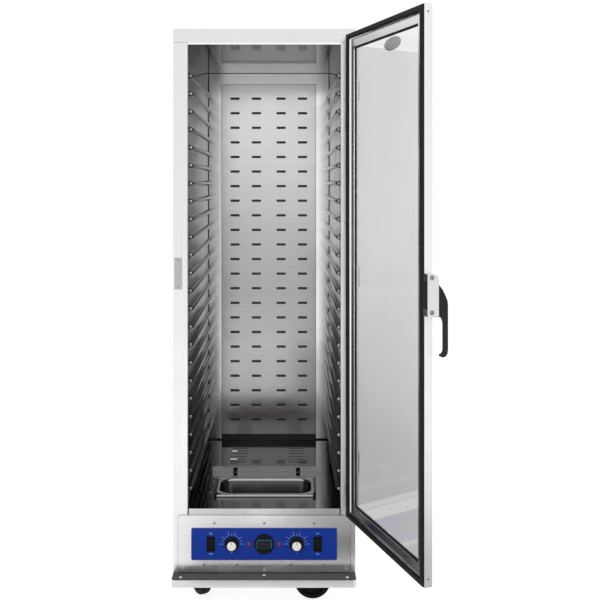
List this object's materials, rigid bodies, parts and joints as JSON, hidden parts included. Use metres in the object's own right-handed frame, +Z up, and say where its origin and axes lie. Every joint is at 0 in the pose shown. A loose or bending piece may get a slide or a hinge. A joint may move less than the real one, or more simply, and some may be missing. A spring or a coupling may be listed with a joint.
{
  "type": "heated holding cabinet",
  "caption": "Upright heated holding cabinet on casters: ribbed cavity, slotted air duct, water pan, control panel and a glazed door standing open.",
  "frame": {"origin": "on the floor, under the middle of the casing's front face", "axes": "+Z up; +Y from the front of the cabinet to its back; +X to the right of a person facing the front"},
  "size_m": [0.7519, 1.3969, 1.792],
  "materials": {
    "casing_steel": "fine vertical brush, soft sheen",
    "lining_steel": "bright sheet with a fine brush",
    "duct_steel": "fine brush",
    "floor_steel": "bright sheet",
    "pan_steel": "drawn and polished",
    "base_steel": "fine brush",
    "galvanised": "dull zinc",
    "panel_steel": "fine horizontal brush",
    "label_blue": "satin printed film",
    "screw_steel": "bright zinc",
    "hinge_steel": "satin",
    "black_plastic": "moulded, slight sheen",
    "window": "tinted display window",
    "lamp_amber": "clear coloured lens",
    "component_grey": "plain",
    "copper": "drawn copper",
    "heater_steel": "heat-tinted sheath",
    "wool": "mineral wool batt",
    "door_aluminium": "satin anodised",
    "door_glass": "clear",
    "seal_black": "matt",
    "badge_grey": "satin, blank",
    "latch_chrome": "polished casting",
    "latch_black": "satin black",
    "fork_steel": "zinc plated",
    "wheel_black": "matt"
  },
  "bodies": {
    "cabinet": {"air_duct_panel": "duct_steel", "air_heater": "heater_steel", "back_panel": "casing_steel", "base_frame": "base_steel", "base_pan": "galvanised", "blower_housing": "galvanised", "blower_motor": "component_grey", "casing_screws": "screw_steel", "caster_bolts": "screw_steel", "caster_plates": "galvanised", "caster_rails": "galvanised", "control_label": "label_blue", "control_panel": "panel_steel", "cord_gland": "black_plastic", "floor_plate": "floor_steel", "guard_clips": "floor_steel", "hinge_casing_leaves": "hinge_steel", "hinge_pins": "screw_steel", "indicator_lamps": "lamp_amber", "inner_liner": "lining_steel", "insulation": "wool", "left_side_panel": "casing_steel", "left_slide_wall": "lining_steel", "pan_heater": "heater_steel", "pan_well": "pan_steel", "right_side_panel": "casing_steel", "right_slide_wall": "lining_steel", "sensor_bulbs": "copper", "sensor_guard": "floor_steel", "strike_plate": "screw_steel", "switch_housings": "black_plastic", "terminal_block": "black_plastic", "thermometer_body": "black_plastic", "thermometer_window": "window", "thermostats": "component_grey", "top_cap": "casing_steel"},
    "door": {"door_frame": "door_aluminium", "door_glass": "door_glass", "glazing_seal": "seal_black", "door_gasket": "seal_black", "badge_plate": "badge_grey", "hinge_door_leaves": "hinge_steel", "latch_housing": "latch_chrome", "latch_magnet": "latch_black"},
    "latch_lever": {"latch_lever": "latch_black"},
    "left_knob": {"left_knob": "black_plastic"},
    "right_knob": {"right_knob": "black_plastic"},
    "left_rocker": {"left_rocker": "black_plastic"},
    "right_rocker": {"right_rocker": "black_plastic"},
    "water_pan": {"water_pan": "pan_steel"},
    "fan": {"fan_wheel": "component_grey"},
    "front_left_caster": {"front_left_fork": "fork_steel"},
    "front_left_wheel": {"front_left_wheel": "wheel_black"},
    "front_right_caster": {"front_right_fork": "fork_steel"},
    "front_right_wheel": {"front_right_wheel": "wheel_black"},
    "rear_left_caster": {"rear_left_fork": "fork_steel"},
    "rear_left_wheel": {"rear_left_wheel": "wheel_black"},
    "rear_right_caster": {"rear_right_fork": "fork_steel"},
    "rear_right_wheel": {"rear_right_wheel": "wheel_black"}
  },
  "joints": [
    {"name": "door_hinge", "type": "hinge", "parent": "cabinet", "child": "door", "pos_m": [0.275, -0.03, 1.0375], "axis": [0, 0, 1], "range_deg": [-107.8, 72]},
    {"name": "latch_pull", "type": "hinge", "parent": "door", "child": "latch_lever", "pos_m": [0.43615, -0.54173, 1.046], "axis": [0.3057, -0.9521, 0], "range_deg": [0, 15], "stiffness_Nm_per_rad": 0.6},
    {"name": "left_knob_turn", "type": "hinge", "parent": "cabinet", "child": "left_knob", "pos_m": [-0.0995, -0.01, 0.2093], "axis": [0, -1, 0], "range_deg": [-270, 0]},
    {"name": "left_rocker_rock", "type": "hinge", "parent": "cabinet", "child": "left_rocker", "pos_m": [-0.1639, 0.0027, 0.2093], "axis": [1, 0, 0], "range_deg": [-18, 0]},
    {"name": "right_knob_turn", "type": "hinge", "parent": "cabinet", "child": "right_knob", "pos_m": [0.0995, -0.01, 0.2093], "axis": [0, -1, 0], "range_deg": [-270, 0]},
    {"name": "right_rocker_rock", "type": "hinge", "parent": "cabinet", "child": "right_rocker", "pos_m": [0.1639, 0.0027, 0.2093], "axis": [1, 0, 0], "range_deg": [-18, 0]},
    {"name": "water_pan_lift", "type": "slide", "parent": "cabinet", "child": "water_pan", "axis": [0, 0, 1], "range_m": [0, 0.25]},
    {"name": "fan_spin", "type": "hinge", "parent": "cabinet", "child": "fan", "pos_m": [0, 0.58, 0.225], "axis": [0, 0, 1], "continuous": true},
    {"name": "front_left_swivel", "type": "hinge", "parent": "cabinet", "child": "front_left_caster", "pos_m": [-0.189, 0.1, 0.13], "axis": [0, 0, 1], "continuous": true},
    {"name": "front_left_roll", "type": "hinge", "parent": "front_left_caster", "child": "front_left_wheel", "pos_m": [-0.20684, 0.13355, 0.058], "axis": [-0.8829, -0.4695, 0], "continuous": true},
    {"name": "front_right_swivel", "type": "hinge", "parent": "cabinet", "child": "front_right_caster", "pos_m": [0.189, 0.1, 0.13], "axis": [0, 0, 1], "continuous": true},
    {"name": "front_right_roll", "type": "hinge", "parent": "front_right_caster", "child": "front_right_wheel", "pos_m": [0.15102, 0.10133, 0.058], "axis": [-0.0349, -0.9994, 0], "continuous": true},
    {"name": "rear_left_swivel", "type": "hinge", "parent": "cabinet", "child": "rear_left_caster", "pos_m": [-0.189, 0.721, 0.13], "axis": [0, 0, 1], "continuous": true},
    {"name": "rear_left_roll", "type": "hinge", "parent": "rear_left_caster", "child": "rear_left_wheel", "pos_m": [-0.15787, 0.7428, 0.058], "axis": [-0.5736, 0.8192, 0], "continuous": true},
    {"name": "rear_right_swivel", "type": "hinge", "parent": "cabinet", "child": "rear_right_caster", "pos_m": [0.189, 0.721, 0.13], "axis": [0, 0, 1], "continuous": true},
    {"name": "rear_right_roll", "type": "hinge", "parent": "rear_right_caster", "child": "rear_right_wheel", "pos_m": [0.15989, 0.74543, 0.058], "axis": [-0.6428, -0.766, 0], "continuous": true}
  ]
}
